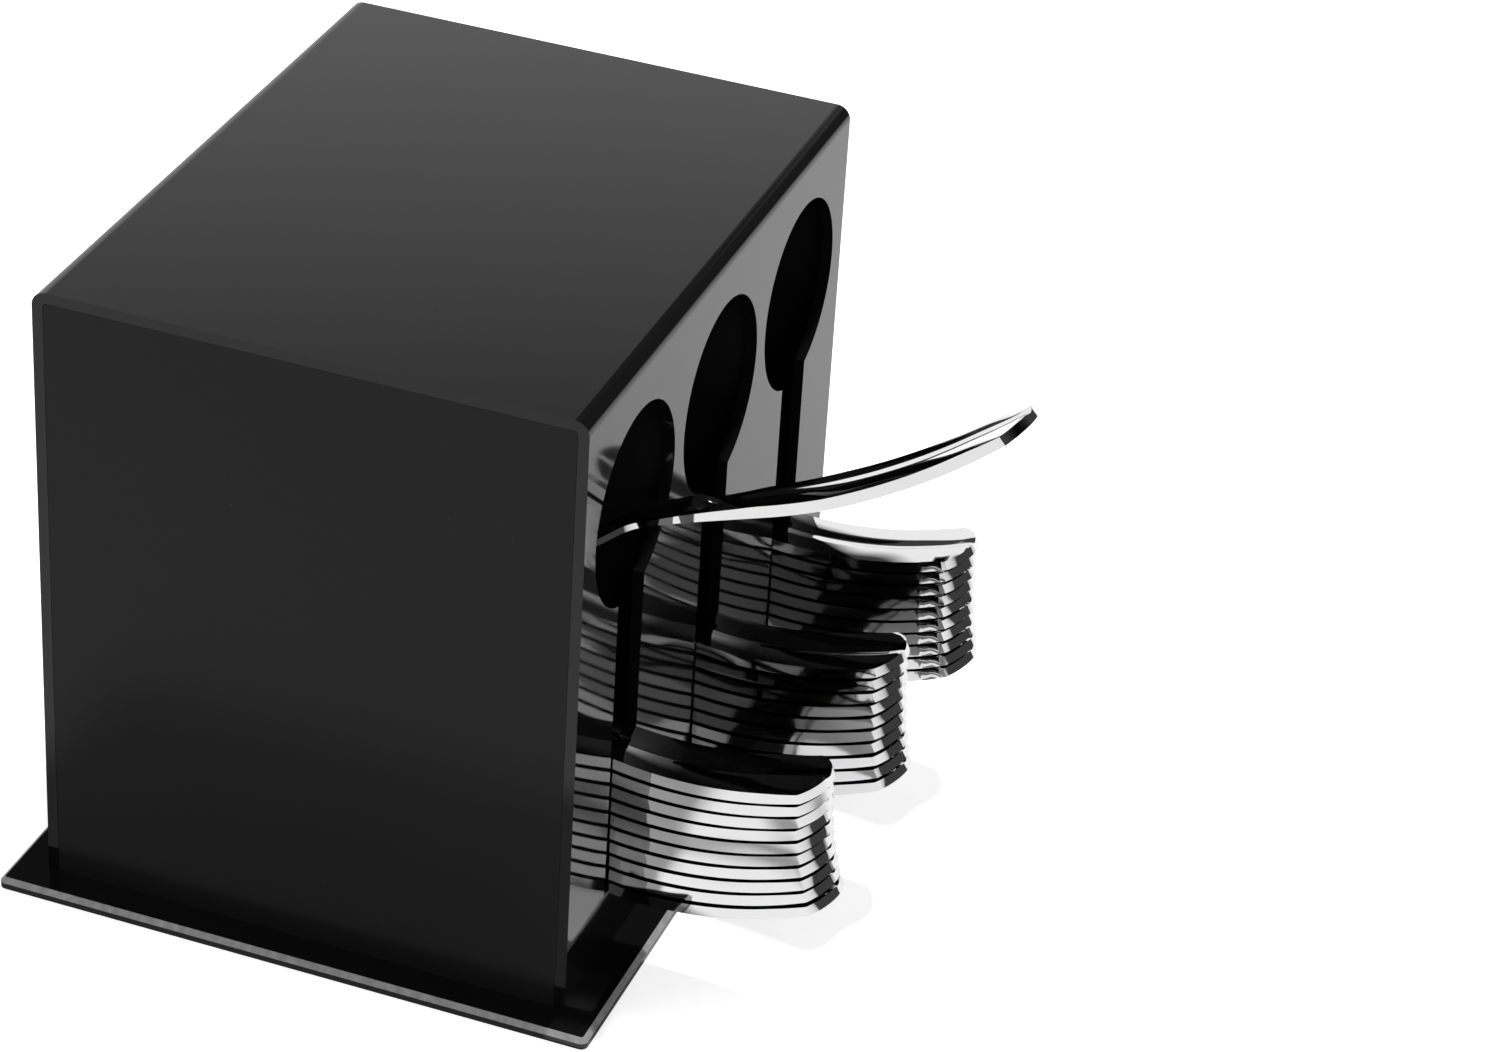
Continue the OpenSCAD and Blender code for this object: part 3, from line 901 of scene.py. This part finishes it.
FLOOR_GREY = 0.78
FLOOR_GLOW_CAMERA = 0.72
FLOOR_GLOW_MIRROR = 0.02
floor_material = bpy.data.materials.new("white_floor")
floor_material.use_nodes = True
floor_tree = floor_material.node_tree
floor_tree.nodes.clear()
diffuse = add_node(floor_tree, "ShaderNodeBsdfDiffuse", Color=(FLOOR_GREY, FLOOR_GREY, FLOOR_GREY, 1))
glow = add_node(floor_tree, "ShaderNodeEmission", Color=(1, 1, 1, 1))
floor_level = ray_level(floor_tree, 0.0, FLOOR_GLOW_CAMERA, FLOOR_GLOW_MIRROR)
join(floor_tree, floor_level.outputs["Result"], glow.inputs["Strength"])
both = add_node(floor_tree, "ShaderNodeAddShader")
floor_output = add_node(floor_tree, "ShaderNodeOutputMaterial")
join(floor_tree, diffuse.outputs["BSDF"], both.inputs[0])
join(floor_tree, glow.outputs["Emission"], both.inputs[1])
join(floor_tree, both.outputs["Shader"], floor_output.inputs["Surface"])
floor_mesh.materials.append(floor_material)
print("floor", FLOOR_SIZE, "m wide")

# %% [markdown]
# A mirror shows the room more than itself. In this studio the wall behind is white up to about 25
# degrees above level, and the ceiling and the room in front are dark. They draw the thin lines along
# the rounded edges and in the flutes of the cutlery. So in mirrors the world fades with height
# and towards the front, while the camera sees plain white. Both come from the ray's direction.

# %% Studio walls and ceiling
WORLD_PLAIN = 0.2
WALL_TOP = 0.42
CEILING_START = 0.54
CEILING = 0.05
FRONT_DARK = -0.28
FRONT_LIT = -0.12
world = bpy.data.worlds.new("studio")
bpy.context.scene.world = world
world.use_nodes = True
world_tree = world.node_tree
world_tree.nodes.clear()
sky = add_node(world_tree, "ShaderNodeBackground", Color=(1, 1, 1, 1))
world_output = add_node(world_tree, "ShaderNodeOutputWorld")
direction = add_node(world_tree, "ShaderNodeTexCoord").outputs["Generated"]
split = add_node(world_tree, "ShaderNodeSeparateXYZ")
join(world_tree, direction, split.inputs["Vector"])
walls = ramp(world_tree, split.outputs["Z"], WALL_TOP, CEILING_START, 1.0, CEILING)
behind = ramp(world_tree, split.outputs["Y"], FRONT_DARK, FRONT_LIT, CEILING, 1.0)
room = add_node(world_tree, "ShaderNodeMath", operation="MULTIPLY")
join(world_tree, walls, room.inputs[0])
join(world_tree, behind, room.inputs[1])
world_level = ray_level(world_tree, WORLD_PLAIN, 1.0, 1.0)
join(world_tree, room.outputs["Value"], world_level.inputs["B"])
join(world_tree, world_level.outputs["Result"], sky.inputs["Strength"])
join(world_tree, sky.outputs["Background"], world_output.inputs["Surface"])
print("walls white up to", round(math.degrees(math.asin(WALL_TOP))), "degrees")

# %% [markdown]
# The bright part of each mirrored flank ends at a sharp line, which is the edge of the housing's
# shadow on the floor beside it. That line points back at the key lamp: to the right, a little in
# front and not very large. A large soft lamp behind on the left draws the bright edges, and a
# weak one near the camera fills in.

# %% Lamps
LAMP_TARGET = Vector((0, 0, 0.08))


def soft_lamp(name, place, size, power, in_mirrors):
    data = bpy.data.lights.new(name, "AREA")
    data.shape = "DISK"
    data.size = size
    data.energy = power
    lamp = bpy.data.objects.new(name, data)
    bpy.context.scene.collection.objects.link(lamp)
    lamp.location = place
    lamp.rotation_euler = (LAMP_TARGET - Vector(place)).to_track_quat("-Z", "Y").to_euler()
    lamp.visible_glossy = in_mirrors


soft_lamp("key_right", (0.86, -0.21, 1.98), size=0.14, power=46, in_mirrors=False)
soft_lamp("soft_back_left", (-0.75, 0.9, 1.25), size=0.8, power=8, in_mirrors=True)
soft_lamp("fill_near_camera", (-1.2, -1.3, 1.3), size=1.2, power=5, in_mirrors=False)
bpy.context.scene.view_settings.view_transform = "Standard"
